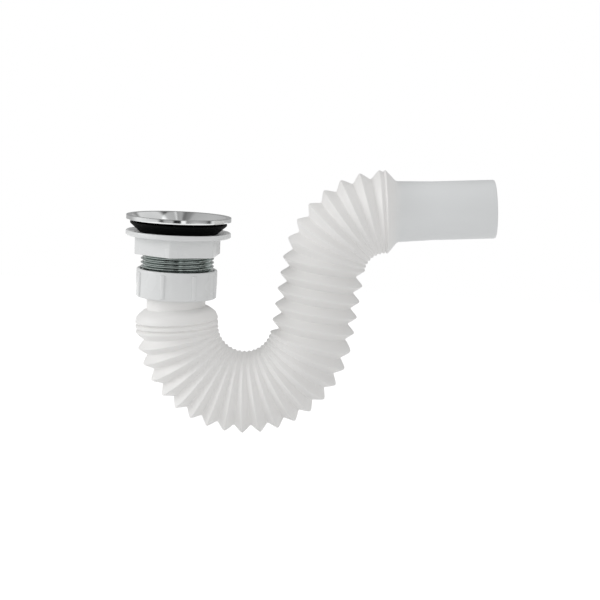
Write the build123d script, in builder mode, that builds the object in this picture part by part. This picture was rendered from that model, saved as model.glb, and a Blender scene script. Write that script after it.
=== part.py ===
from build123d import *
import os
from math import atan2, cos, radians, tan

# Flexible P-trap for a wash basin: a metal waste with a threaded tail, its rubber washer and
# back nut, and a blown bellows hose that a coupling nut holds to the end of the tail.
# The origin is on the waste's axis, where the underside of the rim rests on the basin.
# +Z points up along the waste, and the hose lies in the XZ plane and leaves towards +X.
# Lengths are in millimetres and angles in degrees.

# Threaded tail, a G 1 1/4 pipe thread
thread_diameter = 41.91
thread_clearance = 0.3
tail_wall = 2.45
tail_lead_in = 0.8

# Rim and dish of the waste
rim_reach = 9.05
rim_height = 2.4
rim_chamfer = 0.8
cone_reach = 6.5
cone_depth = 5.0
dish_edge = 2.8
dish_slope = 37.5
dish_chamfer = 0.8
grid_drop = 1.2
grid_thickness = 2.5
grid_bar = 3.0
grid_boss_diameter = 10.0
grid_bars = 4

# Tapered rubber washer
washer_seat_gap = 0.3
washer_foot = 0.65
washer_foot_height = 2.35
washer_flare_width = 5.8
washer_slope = 31.0
washer_lip_height = 1.1

# Flanged back nut, dished where the washer sits
back_flange_reach = 8.8
back_flange_thickness = 2.9
back_flange_chamfer = 0.6
back_flange_land = 1.6
back_dish_depth = 1.2
back_dish_clearance = 0.4
hexagon_wall = 1.35
hexagon_height = 10.4
hexagon_turn = 24.2
hexagon_round = 0.8

# Length of thread that stays bare between the two nuts
bare_thread = 8.4

# Ribbed coupling nut
coupling_wall = 1.9
coupling_height = 16.3
coupling_ledge = 2.5
coupling_band = 1.4
coupling_top_chamfer = 0.8
coupling_foot_chamfer = 0.8
rib_count = 8
rib_width = 2.8
rib_height = 0.95
rib_turn = 29.5

# Flat seal between the tail and the collar of the hose
seal_thickness = 2.5
seal_clearance = 0.45
seal_width = 4.3

# Collar and neck of the hose
collar_thickness = 2.5
collar_clearance = 0.6
neck_inset = 4.25
neck_clearance = 0.35
neck_length = 4.3
neck_bend_inner_radius = 2.0
neck_turn = 5.5
hose_wall = 1.2

# Pleats of the hose, whose crests stand a little proud of the coupling nut's wall
crest_reach = 2.6
pleat_depth = 4.5
bend_groove_depth = 0.7
gathered_groove_depth = 1.8
opening_groove_depth = 4.0
last_groove_depth = 0.9
pleats_per_length = 3
shoulder_inset = 1.0
shoulder_length = 3.9
first_crest_length = 6.75
gathered_pitch = 3.1
gathered_pleats = 2
opening_pitch = 5.85
opening_pleats = 2
u_pleats = 15
riser_pleats = 5
elbow_pleats = 7
last_pitch = 2.6

# Line of the hose: a leaning drop, the U, the leaning riser, the elbow and the outlet
drop_length = 12.5
u_radius = 39.1
u_turn = 167.6
u_tail = 2.9
riser_length = 43.0
elbow_radius = 35.5
elbow_turn = 78.9
elbow_tail = 1.2
outlet_cone = 6.5

# Plain spigot, slightly tapered at its root
spigot_diameter = 33.5
spigot_root_diameter = 34.8
spigot_taper_length = 20.0
spigot_length = 55.5
spigot_wall = 1.6
spigot_chamfer = 0.9

# Radii and heights that follow from the sizes above
thread_radius = thread_diameter / 2
bore_radius = thread_radius + thread_clearance
tail_bore_radius = thread_radius - tail_wall
rim_radius = thread_radius + rim_reach
neck_radius = bore_radius - neck_inset
neck_bend_radius = neck_radius + neck_bend_inner_radius
crest_radius = bore_radius + crest_reach

cone_slope = atan2(cone_depth, cone_reach)
cone_at_bore = thread_clearance * tan(cone_slope) - cone_depth
washer_top = cone_at_bore - washer_seat_gap / cos(cone_slope)
washer_bottom = washer_top - washer_foot_height
back_flange_top = washer_bottom + back_dish_depth
back_flange_bottom = back_flange_top - back_flange_thickness
back_nut_bottom = back_flange_bottom - hexagon_height
coupling_top = back_nut_bottom - bare_thread
coupling_bottom = coupling_top - coupling_height
ledge_top = coupling_bottom + coupling_ledge
collar_top = ledge_top + collar_thickness
tail_end = collar_top + seal_thickness
neck_end = coupling_bottom - neck_length

os.makedirs("parts", exist_ok=True)

# Basin waste: the section of rim, dish and tail is turned about the axis, and the strainer
# is a cross of bars with a boss, standing in the throat
dish_radius = rim_radius - dish_edge
throat_top = rim_height - (dish_radius - tail_bore_radius) * tan(radians(dish_slope))
with BuildPart() as waste_body:
    with BuildSketch(Plane.XZ) as waste_section:
        with BuildLine():
            tail_foot = Line((tail_bore_radius, tail_end), (thread_radius, tail_end))
            tail_side = Line(tail_foot @ 1, (thread_radius, -cone_depth))
            under_cone = Line(tail_side @ 1, (thread_radius + cone_reach, 0))
            under_rim = Line(under_cone @ 1, (rim_radius, 0))
            rim_edge = Line(under_rim @ 1, (rim_radius, rim_height))
            rim_top = Line(rim_edge @ 1, (dish_radius, rim_height))
            dish = Line(rim_top @ 1, (tail_bore_radius, throat_top))
            Line(dish @ 1, tail_foot @ 0)
        make_face()
        rim_corners = waste_section.vertices().group_by(Axis.X)[-1]
        chamfer(rim_corners, rim_chamfer)
        dish_corner = waste_section.vertices().sort_by_distance(rim_top @ 1)[0]
        chamfer(dish_corner, dish_chamfer)
        tail_corner = waste_section.vertices().sort_by_distance(tail_foot @ 1)[0]
        chamfer(tail_corner, tail_lead_in)
    revolve(axis=Axis.Z)

    with BuildSketch(Plane.XY.offset(throat_top - grid_drop)):
        Circle(grid_boss_diameter / 2)
        with PolarLocations(0, grid_bars // 2, angular_range=180):
            Rectangle(2 * tail_bore_radius + tail_wall, grid_bar)
    extrude(amount=-grid_thickness)

# Tapered washer: a rubber cup whose bore clears the thread and whose flare points up
washer_foot_radius = bore_radius + washer_foot
with BuildPart() as tapered_washer:
    with BuildSketch(Plane.XZ):
        with BuildLine():
            washer_bore = Line((bore_radius, washer_bottom), (bore_radius, washer_top))
            cup = PolarLine(
                washer_bore @ 1,
                washer_foot + washer_flare_width,
                angle=washer_slope,
                length_mode=LengthMode.HORIZONTAL,
            )
            lip = PolarLine(cup @ 1, washer_lip_height, angle=-90)
            flare = Line(lip @ 1, (washer_foot_radius, washer_bottom))
            Line(flare @ 1, washer_bore @ 0)
        make_face()
    revolve(axis=Axis.Z)

# Back nut: a dished round flange over a hexagon, bored to clear the thread
hexagon_apothem = bore_radius + hexagon_wall
back_flange_radius = bore_radius + back_flange_reach
back_seat_radius = washer_foot_radius + back_dish_clearance
with BuildPart() as back_nut:
    with BuildSketch(Plane.XZ) as flange_section:
        with BuildLine():
            seat = Line((bore_radius, washer_bottom), (back_seat_radius, washer_bottom))
            back_dish = Line(seat @ 1, (back_flange_radius - back_flange_land, back_flange_top))
            land = Line(back_dish @ 1, (back_flange_radius, back_flange_top))
            flange_edge = Line(land @ 1, (back_flange_radius, back_flange_bottom))
            flange_foot = Line(flange_edge @ 1, (bore_radius, back_flange_bottom))
            Line(flange_foot @ 1, seat @ 0)
        make_face()
        chamfer(flange_section.vertices().group_by(Axis.X)[-1], back_flange_chamfer)
    revolve(axis=Axis.Z)
    with BuildSketch(Plane.XY.offset(back_flange_bottom)) as hexagon:
        RegularPolygon(hexagon_apothem, 6, major_radius=False, rotation=hexagon_turn)
        fillet(hexagon.vertices(), hexagon_round)
        Circle(bore_radius, mode=Mode.SUBTRACT)
    extrude(amount=-hexagon_height)

# Flat seal, pinched between the end of the tail and the collar
seal_radius = bore_radius - seal_clearance
with BuildPart() as coupling_seal:
    with BuildSketch(Plane.XY.offset(collar_top)):
        Circle(seal_radius)
        Circle(seal_radius - seal_width, mode=Mode.SUBTRACT)
    extrude(amount=seal_thickness)

# Coupling nut: a cup with a ledge that lifts the collar, and grip ribs round its wall
coupling_radius = bore_radius + coupling_wall
with BuildPart() as coupling_nut:
    with BuildSketch(Plane.XY.offset(coupling_bottom)):
        Circle(coupling_radius)
    extrude(amount=coupling_height)
    chamfer(coupling_nut.edges().group_by(Axis.Z)[-1], coupling_top_chamfer)
    chamfer(coupling_nut.edges().group_by(Axis.Z)[0], coupling_foot_chamfer)
    with BuildSketch(Plane.XY.offset(coupling_bottom + coupling_foot_chamfer)):
        with PolarLocations(coupling_radius, rib_count, start_angle=rib_turn):
            Rectangle(2 * rib_height, rib_width)
    extrude(amount=coupling_height - coupling_foot_chamfer - coupling_band)
    with BuildSketch(Plane.XY.offset(ledge_top)):
        Circle(bore_radius)
    extrude(amount=coupling_height, mode=Mode.SUBTRACT)
    with BuildSketch(Plane.XY.offset(coupling_bottom)):
        Circle(neck_radius + neck_clearance)
    extrude(amount=coupling_ledge, mode=Mode.SUBTRACT)

# Line of the hose from the neck to the open end of the spigot
with BuildLine(Plane.XZ) as route:
    neck_arc = JernArc((0, neck_end), (0, -1), neck_bend_radius, neck_turn)
    drop = PolarLine(neck_arc @ 1, drop_length, direction=neck_arc % 1)
    u_bend = JernArc(drop @ 1, drop % 1, u_radius, u_turn)
    riser = PolarLine(u_bend @ 1, riser_length, direction=u_bend % 1)
    elbow = JernArc(riser @ 1, riser % 1, elbow_radius, -elbow_turn)

neck_bend = neck_arc.length
u_end = neck_bend + drop.length + u_bend.length
riser_end = u_end + riser.length
elbow_end = riser_end + elbow.length

# Where the pleats stand along that line: gathered under the neck and opening, even round the
# U, drawn out up the riser, closer round the elbow, with one gathered before the outlet.
# Each zone has its number of pleats, its end, the depth of its grooves on the outside and on
# the inside of the bend, where they are pressed nearly shut, and the way the bend turns
first_crest = neck_bend + first_crest_length
gathered_end = first_crest + gathered_pleats * gathered_pitch
opening_end = gathered_end + opening_pleats * opening_pitch
elbow_pleats_end = elbow_end - elbow_tail
zones = (
    (gathered_pleats, gathered_end, gathered_groove_depth, bend_groove_depth, 1),
    (opening_pleats, opening_end, opening_groove_depth, bend_groove_depth, 1),
    (u_pleats, u_end - u_tail, pleat_depth, bend_groove_depth, 1),
    (riser_pleats, riser_end, pleat_depth, pleat_depth, 1),
    (elbow_pleats, elbow_pleats_end, pleat_depth, bend_groove_depth, -1),
    (1, elbow_pleats_end + last_pitch, last_groove_depth, last_groove_depth, -1),
)

# Rings that the pleated wall is drawn through: a distance along the line, a radius, how far
# the ring is moved towards the inside of the bend, and the wall
rings = [
    (0, neck_radius, 0, hose_wall),
    (neck_bend, neck_radius, 0, hose_wall),
    (neck_bend + shoulder_length, crest_radius - shoulder_inset, 0, hose_wall),
]
shoulder_rings = len(rings)
rings.append((first_crest, crest_radius, 0, hose_wall))
crest = first_crest
for pleats, zone_end, outside_depth, inside_depth, turn_way in zones:
    zone_pitch = (zone_end - crest) / pleats
    root_radius = crest_radius - (outside_depth + inside_depth) / 2
    root_move = turn_way * (outside_depth - inside_depth) / 2
    for _ in range(pleats):
        rings.append((crest + zone_pitch / 2, root_radius, root_move, hose_wall))
        crest = crest + zone_pitch
        rings.append((crest, crest_radius, 0, hose_wall))

spigot_root = crest + outlet_cone
spigot_straight = spigot_root + spigot_taper_length
outlet_run = spigot_root + spigot_length - elbow_end
with BuildLine() as outlet_line:
    outlet = PolarLine(elbow @ 1, outlet_run, direction=elbow % 1)

rings.append((spigot_root, spigot_root_diameter / 2, 0, spigot_wall))
rings.append((spigot_straight, spigot_diameter / 2, 0, spigot_wall))

# The wall is drawn in short lengths from crest to crest, so that none of them turns far;
# each has the numbers of its first and last rings
length_starts = [0, *range(shoulder_rings, len(rings) - 1, 2 * pleats_per_length)]
length_ends = [*length_starts[1:], len(rings) - 1]
hose_lengths = list(zip(length_starts, length_ends))

hose_line = Wire([neck_arc, drop, u_bend, riser, elbow, outlet])


def ring_plane(distance):
    """Plane square across the hose at a distance along it from the neck."""
    return Plane(
        origin=hose_line.position_at(distance, PositionMode.LENGTH),
        x_dir=(0, 1, 0),
        z_dir=hose_line.tangent_at(distance, PositionMode.LENGTH),
    )


# Bellows hose: collar and neck, pleated wall and spigot as one blown piece
collar_radius = bore_radius - collar_clearance
neck_bore_radius = neck_radius - hose_wall
spigot_plane = ring_plane(spigot_straight)
spigot_straight_length = spigot_length - spigot_taper_length
with BuildPart() as trap_hose:
    with BuildSketch(Plane.XY.offset(neck_end)):
        Circle(neck_radius)
    extrude(amount=ledge_top - neck_end)
    with BuildSketch(Plane.XY.offset(ledge_top)):
        Circle(collar_radius)
    extrude(amount=collar_thickness)
    for first, last in hose_lengths:
        for distance, radius, move, wall in rings[first:last + 1]:
            with BuildSketch(ring_plane(distance)):
                with Locations((0, move)):
                    Circle(radius)
        loft(ruled=True)
    with BuildSketch(spigot_plane):
        Circle(spigot_diameter / 2)
    extrude(amount=spigot_straight_length)
    spigot_mouth = trap_hose.faces().sort_by(Axis.X)[-1]
    chamfer(spigot_mouth.edges(), spigot_chamfer)

    with BuildSketch(Plane.XY.offset(neck_end)):
        Circle(neck_bore_radius)
    extrude(amount=collar_top - neck_end, mode=Mode.SUBTRACT)
    for first, last in hose_lengths:
        for distance, radius, move, wall in rings[first:last + 1]:
            with BuildSketch(ring_plane(distance)):
                with Locations((0, move)):
                    Circle(radius - wall)
        loft(ruled=True, mode=Mode.SUBTRACT)
    with BuildSketch(spigot_plane):
        Circle(spigot_diameter / 2 - spigot_wall)
    extrude(amount=spigot_straight_length, mode=Mode.SUBTRACT)

pieces = {
    "waste_body": waste_body,
    "tapered_washer": tapered_washer,
    "back_nut": back_nut,
    "coupling_seal": coupling_seal,
    "coupling_nut": coupling_nut,
    "trap_hose": trap_hose,
}
for name, piece in pieces.items():
    piece.part.label = name
    export_step(piece.part, f"parts/{name}.step")
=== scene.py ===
from bisect import bisect
from itertools import pairwise
from math import asin, cos, pi, radians, sin, tan

import bpy
from mathutils import Matrix, Vector


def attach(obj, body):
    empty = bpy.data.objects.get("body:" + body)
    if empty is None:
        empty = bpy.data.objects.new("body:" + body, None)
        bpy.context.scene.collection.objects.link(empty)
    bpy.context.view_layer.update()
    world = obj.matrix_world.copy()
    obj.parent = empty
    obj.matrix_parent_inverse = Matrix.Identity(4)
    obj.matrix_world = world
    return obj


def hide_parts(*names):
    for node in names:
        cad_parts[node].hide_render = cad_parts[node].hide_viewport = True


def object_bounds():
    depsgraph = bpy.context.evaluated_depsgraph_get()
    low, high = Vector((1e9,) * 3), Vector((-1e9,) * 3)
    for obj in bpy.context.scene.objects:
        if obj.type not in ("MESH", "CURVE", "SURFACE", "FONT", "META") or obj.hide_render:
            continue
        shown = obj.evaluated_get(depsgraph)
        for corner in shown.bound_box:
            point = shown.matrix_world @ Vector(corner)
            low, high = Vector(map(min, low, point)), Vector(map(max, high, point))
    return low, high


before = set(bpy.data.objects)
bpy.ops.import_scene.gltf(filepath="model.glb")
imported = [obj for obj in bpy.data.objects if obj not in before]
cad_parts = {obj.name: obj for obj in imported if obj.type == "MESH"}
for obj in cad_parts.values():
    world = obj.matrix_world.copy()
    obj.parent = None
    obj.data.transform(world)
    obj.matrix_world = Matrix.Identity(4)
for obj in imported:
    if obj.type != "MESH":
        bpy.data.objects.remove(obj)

cad_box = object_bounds()

# Basin waste: rim, dish and tail turned from one piece of brass and plated bright.
# The rim sits on the basin, and the tail carries a right-hand pipe thread outside
# and a cross of strainer bars in its throat.
thread_radius = 0.020955
thread_root_radius = 0.019476
thread_pitch = 0.002309
thread_turns = 12
thread_crest_width = 0.00045
thread_root_sink = 0.0003
tail_bore_radius = 0.018505
tail_end = -0.0368
tail_lead_in = 0.0008
plain_tail_end = -0.0078
rim_radius = 0.030005
rim_height = 0.0024
dish_radius = 0.027205
throat_top = -0.00428
cone_radius = 0.027455
cone_depth = 0.005
cone_belly = (0.0247, -0.0027)
strainer_top = -0.00548
strainer_depth = 0.0025
strainer_bar_width = 0.003
strainer_boss_radius = 0.005
strainer_round = 0.0005
bar_let_in = 0.0005
bar_thinning = 0.98
waste_round = 0.00045
turning_steps = 128
thread_steps = 96


def start_mesh(name):
    """A new mesh of one vertex at the origin, left in edit mode with that vertex selected."""
    bpy.ops.object.select_all(action="DESELECT")
    bpy.ops.mesh.primitive_plane_add(size=0.001)
    piece = bpy.context.object
    piece.name = name
    piece.data.name = name
    bpy.ops.object.mode_set(mode="EDIT")
    bpy.ops.mesh.select_mode(type="VERT")
    bpy.ops.mesh.select_all(action="SELECT")
    bpy.ops.mesh.merge(type="CENTER")
    return piece


def draw_section(section):
    """Extrude the selected vertex along a section of (radius, height) points in the XZ plane."""
    radius, height = section[0]
    bpy.ops.transform.translate(value=(radius, 0, height))
    for before, after in pairwise(section):
        step = (after[0] - before[0], 0, after[1] - before[1])
        bpy.ops.mesh.extrude_vertices_move(TRANSFORM_OT_translate={"value": step})


def close_shell():
    """Merge the doubles of the mesh in edit mode, turn its faces outwards and leave edit mode."""
    bpy.ops.mesh.select_all(action="SELECT")
    bpy.ops.mesh.remove_doubles(threshold=1e-6)
    bpy.ops.mesh.normals_make_consistent(inside=False)
    bpy.ops.object.mode_set(mode="OBJECT")


def turn_section(name, section, steps=turning_steps):
    """A ring turned about the Z axis from a closed section of (radius, height) points."""
    piece = start_mesh(name)
    draw_section([*section, section[0]])
    bpy.ops.mesh.select_all(action="SELECT")
    bpy.ops.mesh.spin(steps=steps, angle=2 * pi, center=(0, 0, 0), axis=(0, 0, 1))
    close_shell()
    return piece


def apply_modifiers(piece):
    """Apply every modifier of a piece, in order."""
    bpy.ops.object.select_all(action="DESELECT")
    piece.select_set(True)
    bpy.context.view_layer.objects.active = piece
    for modifier in list(piece.modifiers):
        bpy.ops.object.modifier_apply(modifier=modifier.name)


def soften(piece, width, segments=3, angle=25):
    """Round the sharp edges of a piece."""
    bevel = piece.modifiers.new("rounding", "BEVEL")
    bevel.width = width
    bevel.segments = segments
    bevel.limit_method = "ANGLE"
    bevel.angle_limit = radians(angle)
    apply_modifiers(piece)


def shade(piece, angle=35):
    """Smooth shading, broken only at edges sharper than the angle."""
    bpy.ops.object.select_all(action="DESELECT")
    piece.select_set(True)
    bpy.context.view_layer.objects.active = piece
    bpy.ops.object.shade_smooth_by_angle(angle=radians(angle))


def join_pieces(piece, *others):
    """Join other meshes into a piece."""
    bpy.ops.object.select_all(action="DESELECT")
    for other in others:
        other.select_set(True)
    piece.select_set(True)
    bpy.context.view_layer.objects.active = piece
    bpy.ops.object.join()


waste = turn_section("waste", [
    (tail_bore_radius, tail_end),
    (thread_root_radius - tail_lead_in, tail_end),
    (thread_root_radius, tail_end + tail_lead_in),
    (thread_root_radius, plain_tail_end - thread_pitch / 4),
    (thread_radius, plain_tail_end),
    (thread_radius, -cone_depth),
    cone_belly,
    (cone_radius, 0),
    (rim_radius, 0),
    (rim_radius, rim_height),
    (dish_radius, rim_height),
    (tail_bore_radius, throat_top),
])
soften(waste, waste_round, segments=4)

# The thread is a ridge wound round the tail, sunk a little into it
ridge = start_mesh("thread_ridge")
ridge_foot = tail_end + tail_lead_in / 2
half_root = (thread_pitch - thread_crest_width) / 2
draw_section([
    (thread_root_radius - thread_root_sink, ridge_foot),
    (thread_radius, ridge_foot + half_root),
    (thread_radius, ridge_foot + half_root + thread_crest_width),
    (thread_root_radius - thread_root_sink, ridge_foot + thread_pitch),
    (thread_root_radius - thread_root_sink, ridge_foot),
])
bpy.ops.mesh.select_all(action="SELECT")
bpy.ops.mesh.remove_doubles(threshold=1e-6)
bpy.ops.object.mode_set(mode="OBJECT")
winding = ridge.modifiers.new("winding", "SCREW")
winding.axis = "Z"
winding.angle = 2 * pi
winding.screw_offset = thread_pitch
winding.iterations = thread_turns
winding.steps = thread_steps
winding.render_steps = thread_steps
winding.use_merge_vertices = False
apply_modifiers(ridge)
bpy.ops.object.mode_set(mode="EDIT")
bpy.ops.mesh.select_all(action="SELECT")
bpy.ops.mesh.fill_holes(sides=4)
close_shell()

# The strainer: a boss and two crossed bars, let into the wall of the throat
bpy.ops.object.select_all(action="DESELECT")
bpy.ops.mesh.primitive_cylinder_add(
    vertices=48,
    radius=strainer_boss_radius,
    depth=strainer_depth,
    location=(0, 0, strainer_top - strainer_depth / 2),
)
boss = bpy.context.object
bpy.ops.object.transform_apply(location=True, rotation=True, scale=True)
soften(boss, strainer_round)
bars = []
for bar_turn in (0, pi / 2):
    bpy.ops.object.select_all(action="DESELECT")
    bpy.ops.mesh.primitive_cube_add(
        size=1,
        location=(0, 0, strainer_top - strainer_depth / 2),
        rotation=(0, 0, bar_turn),
        scale=(2 * (tail_bore_radius + bar_let_in), strainer_bar_width, strainer_depth * bar_thinning),
    )
    bar = bpy.context.object
    bpy.ops.object.transform_apply(location=True, rotation=True, scale=True)
    soften(bar, strainer_round)
    bars.append(bar)
join_pieces(waste, ridge, boss, *bars)
shade(waste)


def new_material(name):
    """A new material and its Principled shader."""
    material = bpy.data.materials.new(name)
    material.use_nodes = True
    shader = material.node_tree.nodes["Principled BSDF"]
    return material, shader


def link(tree, source, target):
    """Link an output socket to an input socket."""
    tree.links.new(source, target)


def math_node(tree, operation, first, second=None, third=None):
    """The output of a math node fed by sockets or numbers."""
    node = tree.nodes.new("ShaderNodeMath")
    node.operation = operation
    for socket, value in zip(node.inputs, (first, second, third)):
        if value is None:
            continue
        if isinstance(value, (int, float)):
            socket.default_value = value
        else:
            link(tree, value, socket)
    return node.outputs[0]


def map_range(tree, value, from_low, from_high, to_low, to_high, kind="SMOOTHSTEP"):
    """A remap of a value from one range to another, smooth unless it says otherwise."""
    node = tree.nodes.new("ShaderNodeMapRange")
    node.interpolation_type = kind
    link(tree, value, node.inputs["Value"])
    node.inputs["From Min"].default_value = from_low
    node.inputs["From Max"].default_value = from_high
    node.inputs["To Min"].default_value = to_low
    node.inputs["To Max"].default_value = to_high
    return node.outputs["Result"]


def mix_colour(tree, factor, first, second):
    """A mix of two colours, each a socket or an (r, g, b) value."""
    node = tree.nodes.new("ShaderNodeMix")
    node.data_type = "RGBA"
    link(tree, factor, node.inputs["Factor"])
    for name, value in (("A", first), ("B", second)):
        socket = [s for s in node.inputs if s.name == name and s.type == "RGBA"][0]
        if isinstance(value, tuple):
            socket.default_value = (*value, 1)
        else:
            link(tree, value, socket)
    return [s for s in node.outputs if s.type == "RGBA"][0]


def object_coordinates(tree):
    """The Object coordinates of the surface."""
    return tree.nodes.new("ShaderNodeTexCoord").outputs["Object"]


def noise(tree, vector, scale, detail=2.0, roughness=0.5):
    """The value of a noise texture."""
    node = tree.nodes.new("ShaderNodeTexNoise")
    node.inputs["Scale"].default_value = scale
    node.inputs["Detail"].default_value = detail
    node.inputs["Roughness"].default_value = roughness
    link(tree, vector, node.inputs["Vector"])
    return node.outputs["Fac"]


def bump(tree, height, strength, distance, shader):
    """A bump from a height to the shader's normal."""
    node = tree.nodes.new("ShaderNodeBump")
    node.inputs["Strength"].default_value = strength
    node.inputs["Distance"].default_value = distance
    link(tree, height, node.inputs["Height"])
    link(tree, node.outputs["Normal"], shader.inputs["Normal"])


# Bright plating: polished in the dish and on the rim's edge, satin from the lathe on the
# flat ring of the rim, and duller in the thread. The flat ring and the thread are also painted darker:
# painted shade for the dimmer reflections they show
plating, shader = new_material("bright_plating")
tree = plating.node_tree
place = object_coordinates(tree)
split = tree.nodes.new("ShaderNodeSeparateXYZ")
link(tree, place, split.inputs[0])
across = math_node(tree, "SQRT", math_node(
    tree, "ADD",
    math_node(tree, "POWER", split.outputs["X"], 2.0),
    math_node(tree, "POWER", split.outputs["Y"], 2.0),
))
rings = tree.nodes.new("ShaderNodeCombineXYZ")
link(tree, across, rings.inputs["X"])
link(tree, split.outputs["Z"], rings.inputs["Y"])
lathe_marks = noise(tree, rings.outputs[0], 5200, detail=3)
stains = noise(tree, place, 180, detail=4, roughness=0.6)
thread_shade_bottom = -0.0062
thread_shade_top = -0.0052
ring_fade_bottom = rim_height - 0.0003
ring_fade_top = rim_height - 0.0001
in_thread = map_range(tree, split.outputs["Z"], thread_shade_bottom, thread_shade_top, 1, 0)
on_ring = map_range(tree, split.outputs["Z"], ring_fade_bottom, ring_fade_top, 0, 1)
edge_colour = mix_colour(tree, stains, (0.70, 0.71, 0.71), (0.76, 0.77, 0.77))
# The flat ring's darker grey is painted shade, a dimmer reflection painted into its colour; its satin
# finish is the roughness below
ring_painted_shade_colour = mix_colour(tree, stains, (0.43, 0.44, 0.44), (0.48, 0.49, 0.49))
rim_colour = mix_colour(tree, on_ring, edge_colour, ring_painted_shade_colour)
# The thread's darker greenish grey is painted shade for the dark surroundings it reflects; its duller
# finish is the roughness below
thread_painted_shade_colour = mix_colour(tree, stains, (0.29, 0.325, 0.312), (0.375, 0.41, 0.398))
link(tree, mix_colour(tree, in_thread, rim_colour, thread_painted_shade_colour), shader.inputs["Base Color"])
shader.inputs["Metallic"].default_value = 1.0
polish = 0.04
finish = polish
for mask, roughening in ((on_ring, 0.16), (in_thread, 0.07), (lathe_marks, 0.05)):
    finish = math_node(tree, "ADD", finish, math_node(tree, "MULTIPLY", mask, roughening))
link(tree, finish, shader.inputs["Roughness"])
bump(tree, lathe_marks, 0.12, 0.00004, shader)
waste.data.materials.append(plating)
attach(waste, "waste")
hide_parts("waste_body")

# Tapered washer: a cup of black rubber, pressed in one piece, that seals the basin's
# hole from below. Its flare points up round the cone of the waste.
washer_bore = 0.021255
washer_foot = 0.021905
washer_lip = 0.027705
washer_top = -0.00515
washer_bottom = -0.0075
washer_lip_top = -0.001275
washer_lip_bottom = -0.002375
washer_round = 0.00035

washer = turn_section("washer", [
    (washer_bore, washer_bottom),
    (washer_foot, washer_bottom),
    (washer_lip, washer_lip_bottom),
    (washer_lip, washer_lip_top),
    (washer_bore, washer_top),
])
soften(washer, washer_round)
shade(washer)

rubber, shader = new_material("black_rubber")
tree = rubber.node_tree
place = object_coordinates(tree)
bloom = noise(tree, place, 220, detail=5, roughness=0.65)
skin = noise(tree, place, 2600, detail=2)
rubber_colour = mix_colour(tree, bloom, (0.0012, 0.0016, 0.0015), (0.003, 0.0036, 0.0034))
link(tree, rubber_colour, shader.inputs["Base Color"])
link(tree, map_range(tree, bloom, 0.3, 0.7, 0.5, 0.62), shader.inputs["Roughness"])
shader.inputs["Specular IOR Level"].default_value = 0.05
bump(tree, skin, 0.15, 0.00005, shader)
washer.data.materials.append(rubber)
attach(washer, "washer")
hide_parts("tapered_washer")

# Back nut: a white moulded nut with a dished round flange over a hexagon, screwed up
# the tail to clamp the washer.
nut_bore = 0.021255
flange_radius = 0.030055
flange_land = 0.0016
flange_top = -0.0063
flange_bottom = -0.0092
flange_seat_radius = 0.022305
hexagon_bottom = -0.0196
hexagon_apothem = 0.022605
hexagon_turn = 24.2
hexagon_sink = 0.0008
hexagon_round = 0.0008
flange_round = 0.0007
nut_edge_round = 0.0004
bore_flare = 0.0005
bore_stock = 0.001
bore_core = 0.001


def select_edges(piece, wanted):
    """Enter edit mode with only the edges selected whose two ends pass the test."""
    bpy.ops.object.select_all(action="DESELECT")
    piece.select_set(True)
    bpy.context.view_layer.objects.active = piece
    bpy.ops.object.mode_set(mode="EDIT")
    bpy.ops.mesh.select_mode(type="EDGE")
    bpy.ops.mesh.select_all(action="DESELECT")
    bpy.ops.object.mode_set(mode="OBJECT")
    vertices = piece.data.vertices
    for edge in piece.data.edges:
        ends = [vertices[i].co for i in edge.vertices]
        edge.select = wanted(*ends)
    bpy.ops.object.mode_set(mode="EDIT")


def combine(piece, tool, operation):
    """Fuse a tool with a piece or cut it out, and delete the tool."""
    change = piece.modifiers.new("change", "BOOLEAN")
    change.operation = operation
    change.solver = "EXACT"
    change.object = tool
    apply_modifiers(piece)
    bpy.data.objects.remove(tool, do_unlink=True)


back_nut = turn_section("back_nut", [
    (nut_bore - bore_stock, washer_bottom),
    (flange_seat_radius, washer_bottom),
    (flange_radius - flange_land, flange_top),
    (flange_radius, flange_top),
    (flange_radius, flange_bottom),
    (nut_bore - bore_stock, flange_bottom),
])
soften(back_nut, flange_round, segments=4)

bpy.ops.object.select_all(action="DESELECT")
hexagon_height = flange_bottom + hexagon_sink - hexagon_bottom
bpy.ops.mesh.primitive_cylinder_add(
    vertices=6,
    radius=hexagon_apothem / cos(pi / 6),
    depth=hexagon_height,
    location=(0, 0, hexagon_bottom + hexagon_height / 2),
    rotation=(0, 0, radians(hexagon_turn - 30)),
)
hexagon = bpy.context.object
bpy.ops.object.transform_apply(location=True, rotation=True, scale=True)
select_edges(hexagon, lambda a, b: (a.xy - b.xy).length < 1e-6)
bpy.ops.mesh.bevel(offset=hexagon_round, segments=4, affect="EDGES")
bpy.ops.object.mode_set(mode="OBJECT")
select_edges(hexagon, lambda a, b: max(a.z, b.z) < hexagon_bottom + 1e-6)
bpy.ops.mesh.bevel(offset=nut_edge_round, segments=3, affect="EDGES")
bpy.ops.object.mode_set(mode="OBJECT")
combine(back_nut, hexagon, "UNION")

bore = turn_section("bore", [
    (bore_core, washer_bottom + bore_stock),
    (nut_bore, washer_bottom + bore_stock),
    (nut_bore, hexagon_bottom + bore_flare),
    (nut_bore + bore_flare, hexagon_bottom),
    (nut_bore + bore_flare, hexagon_bottom - bore_stock),
    (bore_core, hexagon_bottom - bore_stock),
])
combine(back_nut, bore, "DIFFERENCE")
shade(back_nut)

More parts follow.
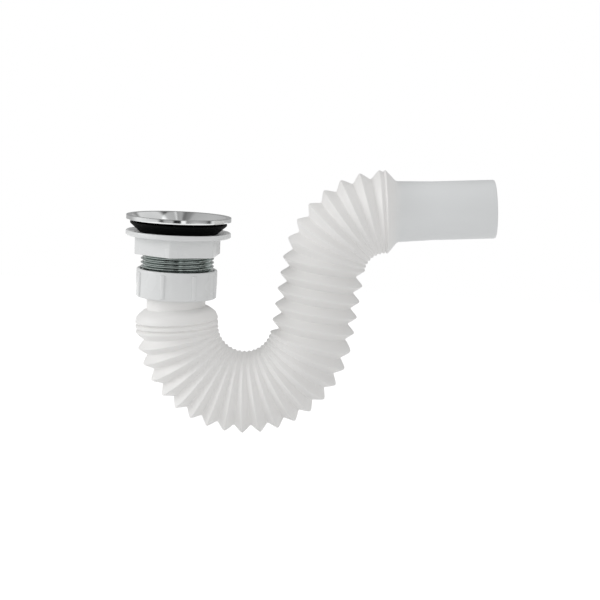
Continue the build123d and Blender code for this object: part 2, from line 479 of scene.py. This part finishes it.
# The skin of moulded plastic: slow clouding and a fine spark-eroded grain
skin_group = bpy.data.node_groups.new("moulded_skin", "ShaderNodeTree")
interface = skin_group.interface
interface.new_socket("Cloud Scale", in_out="INPUT", socket_type="NodeSocketFloat")
interface.new_socket("Grain Scale", in_out="INPUT", socket_type="NodeSocketFloat")
interface.new_socket("Cloud", in_out="OUTPUT", socket_type="NodeSocketFloat")
interface.new_socket("Grain", in_out="OUTPUT", socket_type="NodeSocketFloat")
group_in = skin_group.nodes.new("NodeGroupInput")
group_out = skin_group.nodes.new("NodeGroupOutput")
group_place = skin_group.nodes.new("ShaderNodeTexCoord").outputs["Object"]
for output, detail in (("Cloud", 3.0), ("Grain", 2.0)):
    texture = skin_group.nodes.new("ShaderNodeTexNoise")
    texture.inputs["Detail"].default_value = detail
    skin_group.links.new(group_place, texture.inputs["Vector"])
    skin_group.links.new(group_in.outputs[output + " Scale"], texture.inputs["Scale"])
    skin_group.links.new(texture.outputs["Fac"], group_out.inputs[output])


def moulded_skin(tree, cloud_scale, grain_scale):
    """Place the moulded skin in a material, and give its cloud and grain."""
    node = tree.nodes.new("ShaderNodeGroup")
    node.node_tree = skin_group
    node.inputs["Cloud Scale"].default_value = cloud_scale
    node.inputs["Grain Scale"].default_value = grain_scale
    return node.outputs["Cloud"], node.outputs["Grain"]


nut_plastic, shader = new_material("white_nut_plastic")
tree = nut_plastic.node_tree
cloud, grain = moulded_skin(tree, 60, 2400)
nut_colour = mix_colour(tree, cloud, (0.765, 0.775, 0.775), (0.80, 0.81, 0.81))
link(tree, nut_colour, shader.inputs["Base Color"])
link(tree, map_range(tree, cloud, 0.3, 0.7, 0.22, 0.30), shader.inputs["Roughness"])
bump(tree, grain, 0.08, 0.00004, shader)
back_nut.data.materials.append(nut_plastic)
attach(back_nut, "back_nut")
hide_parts("back_nut")

# Flat seal: a ring of the same black rubber, stamped from sheet and pinched between
# the end of the tail and the hose's collar. Its solid is kept.
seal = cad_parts["coupling_seal"]
seal.data.materials.clear()
seal.data.materials.append(rubber)

# Coupling nut: a white moulded cup that screws on the tail and lifts the hose's collar
# against the seal. Eight narrow ribs give the hand a grip.
coupling_radius = 0.023155
coupling_top = -0.028
coupling_bottom = -0.0443
coupling_ledge_top = -0.0418
coupling_hole = 0.017355
coupling_round = 0.0008
coupling_band = 0.0014
rib_count = 8
rib_turn = 29.5
rib_width = 0.0028
rib_height = 0.00095
rib_round = 0.0011

coupling_nut = turn_section("coupling_nut", [
    (coupling_hole, coupling_bottom),
    (coupling_radius, coupling_bottom),
    (coupling_radius, coupling_top),
    (nut_bore, coupling_top),
    (nut_bore, coupling_ledge_top),
    (coupling_hole, coupling_ledge_top),
])
soften(coupling_nut, coupling_round, segments=4)

rib_foot = coupling_bottom + coupling_round
rib_length = coupling_top - coupling_band - rib_foot
bpy.ops.object.select_all(action="DESELECT")
bpy.ops.mesh.primitive_cube_add(
    size=1,
    location=(coupling_radius, 0, rib_foot + rib_length / 2),
    scale=(2 * rib_height, rib_width, rib_length),
)
ribs = bpy.context.object
bpy.ops.object.transform_apply(location=True, rotation=True, scale=True)
select_edges(ribs, lambda a, b: min(a.x, b.x) > coupling_radius)
bpy.ops.mesh.bevel(offset=rib_round, segments=6, affect="EDGES")
bpy.ops.mesh.select_all(action="SELECT")
bpy.ops.transform.rotate(value=-radians(rib_turn), orient_axis="Z", center_override=(0, 0, 0))
for _ in range(rib_count - 1):
    bpy.ops.mesh.duplicate()
    bpy.ops.transform.rotate(value=2 * pi / rib_count, orient_axis="Z", center_override=(0, 0, 0))
bpy.ops.object.mode_set(mode="OBJECT")
combine(coupling_nut, ribs, "UNION")
shade(coupling_nut)
coupling_nut.data.materials.append(nut_plastic)
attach(coupling_nut, "coupling_nut")
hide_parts("coupling_nut")

# Bellows hose: blown in one piece from soft white plastic, with a collar that hangs in
# the coupling nut, a pleated wall that keeps the bend it is given, and a plain spigot.
collar_top = -0.0393
collar_radius = 0.020655
collar_thickness = 0.0025
neck_end = -0.0486
neck_radius = 0.017005
neck_bend_radius = 0.019005
neck_turn = 5.5
hose_wall = 0.0012
crest_radius = 0.023855
pleat_depth = 0.0045
bend_groove_depth = 0.0007
gathered_groove_depth = 0.0018
opening_groove_depth = 0.004
last_groove_depth = 0.0009
shoulder_radius = 0.022855
shoulder_length = 0.0039
shoulder_foot = (0.0018, 0.0006)
shoulder_belly = (0.0016, 0.62)
first_crest_length = 0.00675
gathered_pitch = 0.0031
gathered_pleats = 2
opening_pitch = 0.00585
opening_pleats = 2
u_pleats = 15
riser_pleats = 5
elbow_pleats = 7
last_pitch = 0.0026
drop_length = 0.0125
u_radius = 0.0391
u_turn = 167.6
u_tail = 0.0029
riser_length = 0.043
elbow_radius = 0.0355
elbow_turn = 78.9
elbow_tail = 0.0012
outlet_cone = 0.0065
last_crest_round = (0.0006, 0.0007)
cone_foot_round = (0.0006, 0.0012)
spigot_radius = 0.01675
spigot_root_radius = 0.0174
spigot_taper_length = 0.020
spigot_length = 0.0555
spigot_wall = 0.0016
spigot_round = 0.0009
spigot_round_middle = 0.3
hose_steps = 96

# Distances along the hose, from the top of the collar
neck_start = collar_top - neck_end
bend_end = neck_start + neck_bend_radius * radians(neck_turn)
u_start = bend_end + drop_length
u_end = u_start + u_radius * radians(u_turn)
riser_end = u_end + riser_length
elbow_end = riser_end + elbow_radius * radians(elbow_turn)

# Each zone of pleats has its number, its end, the depth of its grooves on the outside and on
# the inside of the bend, where they are pressed nearly shut, the share of the pitch that a
# groove takes, and the group that moves them
crests = [bend_end + first_crest_length]
gathered_end = crests[0] + gathered_pleats * gathered_pitch
opening_end = gathered_end + opening_pleats * opening_pitch
elbow_pleats_end = elbow_end - elbow_tail
zones = (
    (gathered_pleats, gathered_end, gathered_groove_depth, bend_groove_depth, 0.6, "u_grooves"),
    (opening_pleats, opening_end, opening_groove_depth, bend_groove_depth, 1.0, "u_grooves"),
    (u_pleats, u_end - u_tail, pleat_depth, bend_groove_depth, 1.0, "u_grooves"),
    (riser_pleats, riser_end, pleat_depth, pleat_depth, 1.0, None),
    (elbow_pleats, elbow_pleats_end, pleat_depth, bend_groove_depth, 1.0, "elbow_grooves"),
    (1, elbow_pleats_end + last_pitch, last_groove_depth, last_groove_depth, 1.0, None),
)
grooves = []
for pleats, zone_end, outside_depth, inside_depth, share, group in zones:
    zone_pitch = (zone_end - crests[-1]) / pleats
    for _ in range(pleats):
        crests.append(crests[-1] + zone_pitch)
        depth = (outside_depth + inside_depth) / 2
        grooves.append((depth, outside_depth - depth, share, group))
spigot_root = crests[-1] + outlet_cone
spigot_straight = spigot_root + spigot_taper_length
spigot_end = spigot_root + spigot_length

# A pleat runs from crest to root and back as a wave with nearly straight flanks
wave_sharpness = 0.96
wave_steps = 16


def pleat_wave(place, share):
    """Height of the wall from root to crest, 0 to 1, at a place from crest to crest, 0 to 1."""
    place = min(max((place - 0.5) / share + 0.5, 0), 1)
    return 0.5 + 0.5 * asin(wave_sharpness * cos(2 * pi * place)) / asin(wave_sharpness)


outer = [
    (neck_radius, collar_thickness),
    (neck_radius, bend_end),
    (neck_radius + shoulder_foot[0], bend_end + shoulder_foot[1]),
    (shoulder_radius - shoulder_belly[0], bend_end + shoulder_length * shoulder_belly[1]),
    (shoulder_radius, bend_end + shoulder_length),
    (crest_radius, crests[0]),
]
for (before, after), (depth, _, share, _) in zip(pairwise(crests), grooves):
    for step in range(1, wave_steps + 1):
        place = step / wave_steps
        outer.append((
            crest_radius - depth * (1 - pleat_wave(place, share)),
            before + (after - before) * place,
        ))
outer += [
    (crest_radius - last_crest_round[0], crests[-1] + last_crest_round[1]),
    (spigot_root_radius + cone_foot_round[0], spigot_root - cone_foot_round[1]),
    (spigot_root_radius, spigot_root),
    (spigot_radius, spigot_straight),
    (spigot_radius, spigot_end - spigot_round),
    (spigot_radius - spigot_round * spigot_round_middle, spigot_end - spigot_round * spigot_round_middle),
    (spigot_radius - spigot_round, spigot_end),
]
inner = [
    (spigot_radius - spigot_wall, spigot_end),
    (spigot_radius - spigot_wall, spigot_straight),
    (spigot_root_radius - spigot_wall, spigot_root),
    (crest_radius - hose_wall, crests[-1]),
]
for (before, after), (depth, _, _, _) in reversed(list(zip(pairwise(crests), grooves))):
    inner.append((crest_radius - depth - hose_wall, (before + after) / 2))
    inner.append((crest_radius - hose_wall, before))
inner += [
    (shoulder_radius - hose_wall, bend_end + shoulder_length),
    (neck_radius - hose_wall, bend_end),
    (neck_radius - hose_wall, 0),
]
collar = [(collar_radius, 0), (collar_radius, collar_thickness)]
hose = turn_section("hose", [*collar, *outer, *inner], steps=hose_steps)

# In the bends each groove is moved towards the inside, most at its root
most_move = (pleat_depth - bend_groove_depth) / 2
for name in ("u_grooves", "elbow_grooves"):
    hose.vertex_groups.new(name=name)
for vertex in hose.data.vertices:
    number = bisect(crests, vertex.co.z) - 1
    if not 0 <= number < len(grooves):
        continue
    _, move, share, group = grooves[number]
    if group:
        before, after = crests[number:number + 2]
        dip = 1 - pleat_wave((vertex.co.z - before) / (after - before), share)
        hose.vertex_groups[group].add([vertex.index], dip * move / most_move, "REPLACE")
for name, way in (("u_grooves", -1), ("elbow_grooves", 1)):
    shift = hose.modifiers.new(name, "DISPLACE")
    shift.direction = "X"
    shift.mid_level = 0
    shift.strength = way * most_move
    shift.vertex_group = name
apply_modifiers(hose)
hose.vertex_groups.clear()

# The line of the hose lies in the XZ plane: a short bend out of the neck, a leaning drop,
# the U, the riser, the elbow and the straight spigot
line_data = bpy.data.curves.new("hose_line", "CURVE")
line_data.dimensions = "3D"
line_data.resolution_u = 96
line_data.twist_mode = "MINIMUM"
line = bpy.data.objects.new("hose_line", line_data)
bpy.context.collection.objects.link(line)
spline = line_data.splines.new("BEZIER")


def heading_vector(angle):
    """Unit vector in the XZ plane at an angle from the X axis, in degrees."""
    return Vector((cos(radians(angle)), 0, sin(radians(angle))))


def add_run(reach, angle):
    """Carry the line straight on along its heading."""
    knot = spline.bezier_points[-1]
    knot.handle_right = knot.co + heading_vector(angle) * reach / 3
    spline.bezier_points.add(1)
    new = spline.bezier_points[-1]
    new.co = spline.bezier_points[-2].co + heading_vector(angle) * reach
    new.handle_left = new.co - heading_vector(angle) * reach / 3
    new.handle_right = new.co


def add_bend(radius, angle, turn, parts):
    """Carry the line round a bend in equal parts, to the left where the turn is positive."""
    side = 1 if turn > 0 else -1
    arm = radius * 4 / 3 * tan(radians(abs(turn) / parts / 4))
    for _ in range(parts):
        knot = spline.bezier_points[-1]
        knot.handle_right = knot.co + heading_vector(angle) * arm
        centre = knot.co + heading_vector(angle + 90 * side) * radius
        angle += turn / parts
        spline.bezier_points.add(1)
        new = spline.bezier_points[-1]
        new.co = centre - heading_vector(angle + 90 * side) * radius
        new.handle_left = new.co - heading_vector(angle) * arm
        new.handle_right = new.co


spline.bezier_points[0].co = (0, 0, collar_top)
spline.bezier_points[0].handle_left = (0, 0, collar_top)
heading = -90
add_run(neck_start, heading)
add_bend(neck_bend_radius, heading, neck_turn, 1)
heading += neck_turn
add_run(drop_length, heading)
add_bend(u_radius, heading, u_turn, 4)
heading += u_turn
add_run(riser_length, heading)
add_bend(elbow_radius, heading, -elbow_turn, 2)
heading -= elbow_turn
add_run(spigot_end - elbow_end, heading)

bend = hose.modifiers.new("bend", "CURVE")
bend.object = line
bend.deform_axis = "POS_Z"
apply_modifiers(hose)
bpy.data.objects.remove(line, do_unlink=True)
shade(hose, 50)

hose_plastic, shader = new_material("white_hose_plastic")
tree = hose_plastic.node_tree
cloud, grain = moulded_skin(tree, 45, 1800)
place = tree.nodes.new("ShaderNodeSeparateXYZ")
link(tree, object_coordinates(tree), place.inputs[0])
spigot_fade = (0.119, 0.128)
on_spigot = map_range(tree, place.outputs["X"], *spigot_fade, 0, 1)
pleat_colour = mix_colour(tree, cloud, (0.885, 0.878, 0.866), (0.905, 0.898, 0.886))
spigot_colour = mix_colour(tree, cloud, (0.79, 0.805, 0.81), (0.82, 0.835, 0.84))
link(tree, mix_colour(tree, on_spigot, pleat_colour, spigot_colour), shader.inputs["Base Color"])
link(tree, map_range(tree, cloud, 0.3, 0.7, 0.42, 0.52), shader.inputs["Roughness"])
bump(tree, grain, 0.06, 0.00005, shader)
hose.data.materials.append(hose_plastic)
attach(hose, "hose")
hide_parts("trap_hose")

# Studio: a pale floor that clears the hose when its coupling is run right down. It shows
# the white of the backdrop and keeps the object's shadow.
lowest_drop = 0.009
floor_level = cad_box[0].z - lowest_drop
floor_size = 1.4
floor_middle = 0.07
bpy.ops.object.select_all(action="DESELECT")
bpy.ops.mesh.primitive_plane_add(size=floor_size, location=(floor_middle, 0, floor_level))
floor = bpy.context.object
floor.name = "floor"
bpy.ops.object.transform_apply(location=True, rotation=True, scale=True)
floor_paint = bpy.data.materials.new("floor_paint")
floor_paint.use_nodes = True
tree = floor_paint.node_tree
tree.nodes.clear()
output = tree.nodes.new("ShaderNodeOutputMaterial")
matt = tree.nodes.new("ShaderNodeBsdfDiffuse")
matt.inputs["Color"].default_value = (0.82, 0.82, 0.82, 1)
glow = tree.nodes.new("ShaderNodeEmission")
glow.inputs["Color"].default_value = (1, 1, 1, 1)
rays = tree.nodes.new("ShaderNodeLightPath")
seen = math_node(tree, "MAXIMUM", rays.outputs["Is Camera Ray"], math_node(
    tree, "MAXIMUM", rays.outputs["Is Glossy Ray"], rays.outputs["Is Transmission Ray"],
))
link(tree, map_range(tree, seen, 0, 1, 0.08, 0.55), glow.inputs["Strength"])
both = tree.nodes.new("ShaderNodeAddShader")
link(tree, matt.outputs[0], both.inputs[0])
link(tree, glow.outputs[0], both.inputs[1])
link(tree, both.outputs[0], output.inputs["Surface"])
floor.data.materials.append(floor_paint)

# Light: a soft room that is brighter on the camera's side, a large soft lamp on the left and
# a weaker one overhead. Polished metal mirrors a studio of pale and dark panels instead.
world = bpy.data.worlds.new("studio")
bpy.context.scene.world = world
world.use_nodes = True
tree = world.node_tree
tree.nodes.clear()
output = tree.nodes.new("ShaderNodeOutputWorld")
direction = tree.nodes.new("ShaderNodeTexCoord").outputs["Generated"]
split = tree.nodes.new("ShaderNodeSeparateXYZ")
link(tree, direction, split.inputs[0])
rays = tree.nodes.new("ShaderNodeLightPath")
room_level = map_range(tree, split.outputs["Y"], -1.0, -0.3, 0.85, 0.56)


def panel_row(tree, place, low, high, panels):
    """The grey of a row of studio panels, each a place from low to high and a level."""
    row = tree.nodes.new("ShaderNodeValToRGB")
    row.color_ramp.interpolation = "EASE"
    elements = row.color_ramp.elements
    while len(elements) < len(panels):
        elements.new(0.5)
    for element, (panel_place, grey) in zip(elements, panels):
        element.position = (panel_place - low) / (high - low)
        element.color = (grey, grey, grey, 1)
    link(tree, map_range(tree, place, low, high, 0, 1, "LINEAR"), row.inputs["Fac"])
    return row.outputs["Color"]


# The walls by the angle round the object, from the camera's side, and the ceiling from left
# to right
towards_camera = math_node(tree, "MULTIPLY", split.outputs["Y"], -1.0)
azimuth = math_node(tree, "ARCTAN2", split.outputs["X"], towards_camera)
azimuth_degrees = math_node(tree, "DEGREES", azimuth)
walls = panel_row(tree, azimuth_degrees, -180, 180, (
    (-180, 0.5), (-125, 0.55), (-95, 1.0), (-45, 0.85), (-33, 0.12), (-25, 0.5), (-10, 0.55),
    (-4, 0.03), (8, 0.05), (11, 1.2), (18, 1.2), (22, 0.35), (40, 0.55), (62, 0.45),
    (75, 0.12), (84, 0.9), (125, 0.6), (180, 0.5),
))
ceiling = panel_row(tree, split.outputs["X"], -1, 1, (
    (-1, 0.5), (-0.5, 0.62), (-0.3, 0.55), (-0.2, 0.3), (-0.12, 0.2), (-0.06, 0.5), (0.03, 0.42),
    (0.07, 0.1), (0.2, 0.14), (0.28, 0.85), (0.45, 0.75), (0.6, 0.45), (1, 0.5),
))
overhead = map_range(tree, split.outputs["Z"], 0.15, 0.55, 0, 1)
mirrored = tree.nodes.new("ShaderNodeMix")
link(tree, overhead, mirrored.inputs["Factor"])
link(tree, walls, mirrored.inputs["A"])
link(tree, ceiling, mirrored.inputs["B"])
looked_at = math_node(tree, "MAXIMUM", rays.outputs["Is Camera Ray"], rays.outputs["Is Transmission Ray"])
seen_level = math_node(tree, "MAXIMUM", mirrored.outputs["Result"], looked_at)
seen = math_node(tree, "MAXIMUM", rays.outputs["Is Camera Ray"], math_node(
    tree, "MAXIMUM", rays.outputs["Is Glossy Ray"], rays.outputs["Is Transmission Ray"],
))
level = tree.nodes.new("ShaderNodeMix")
link(tree, seen, level.inputs["Factor"])
link(tree, room_level, level.inputs["A"])
link(tree, seen_level, level.inputs["B"])
room = tree.nodes.new("ShaderNodeBackground")
room.inputs["Color"].default_value = (1, 1, 1, 1)
link(tree, level.outputs["Result"], room.inputs["Strength"])
link(tree, room.outputs[0], output.inputs["Surface"])

object_middle = Vector((0.07, 0, -0.045))


def add_lamp(name, place, size, power):
    """A square soft lamp that faces the object."""
    lamp = bpy.data.lights.new(name, "AREA")
    lamp.size = size
    lamp.energy = power
    holder = bpy.data.objects.new(name, lamp)
    bpy.context.collection.objects.link(holder)
    holder.location = place
    holder.rotation_euler = (object_middle - Vector(place)).to_track_quat("-Z", "Y").to_euler()


add_lamp("key_lamp", (-1.2, -0.2, 0.46), 0.7, 5.0)
add_lamp("top_lamp", (0.45, 0.0, 1.2), 0.9, 1.2)

# Camera: a long lens a little above the object, tipped down and rolled as the photograph is.
camera_distance = 0.9
camera_pitch = 8.0
camera_roll = 2.7
camera_aim = Vector((0.0714, 0, -0.04295))
camera_data = bpy.data.cameras.new("camera")
camera_data.sensor_width = 36
camera_data.lens = 93.75
camera = bpy.data.objects.new("camera", camera_data)
bpy.context.collection.objects.link(camera)
tip = Matrix.Rotation(radians(90 - camera_pitch), 4, "X")
roll = Matrix.Rotation(radians(camera_roll), 4, "Z")
draw_back = Matrix.Translation((0, 0, camera_distance))
camera.matrix_world = Matrix.Translation(camera_aim) @ tip @ roll @ draw_back
bpy.context.scene.camera = camera
bpy.context.scene.view_settings.view_transform = "Standard"

bpy.context.view_layer.update()
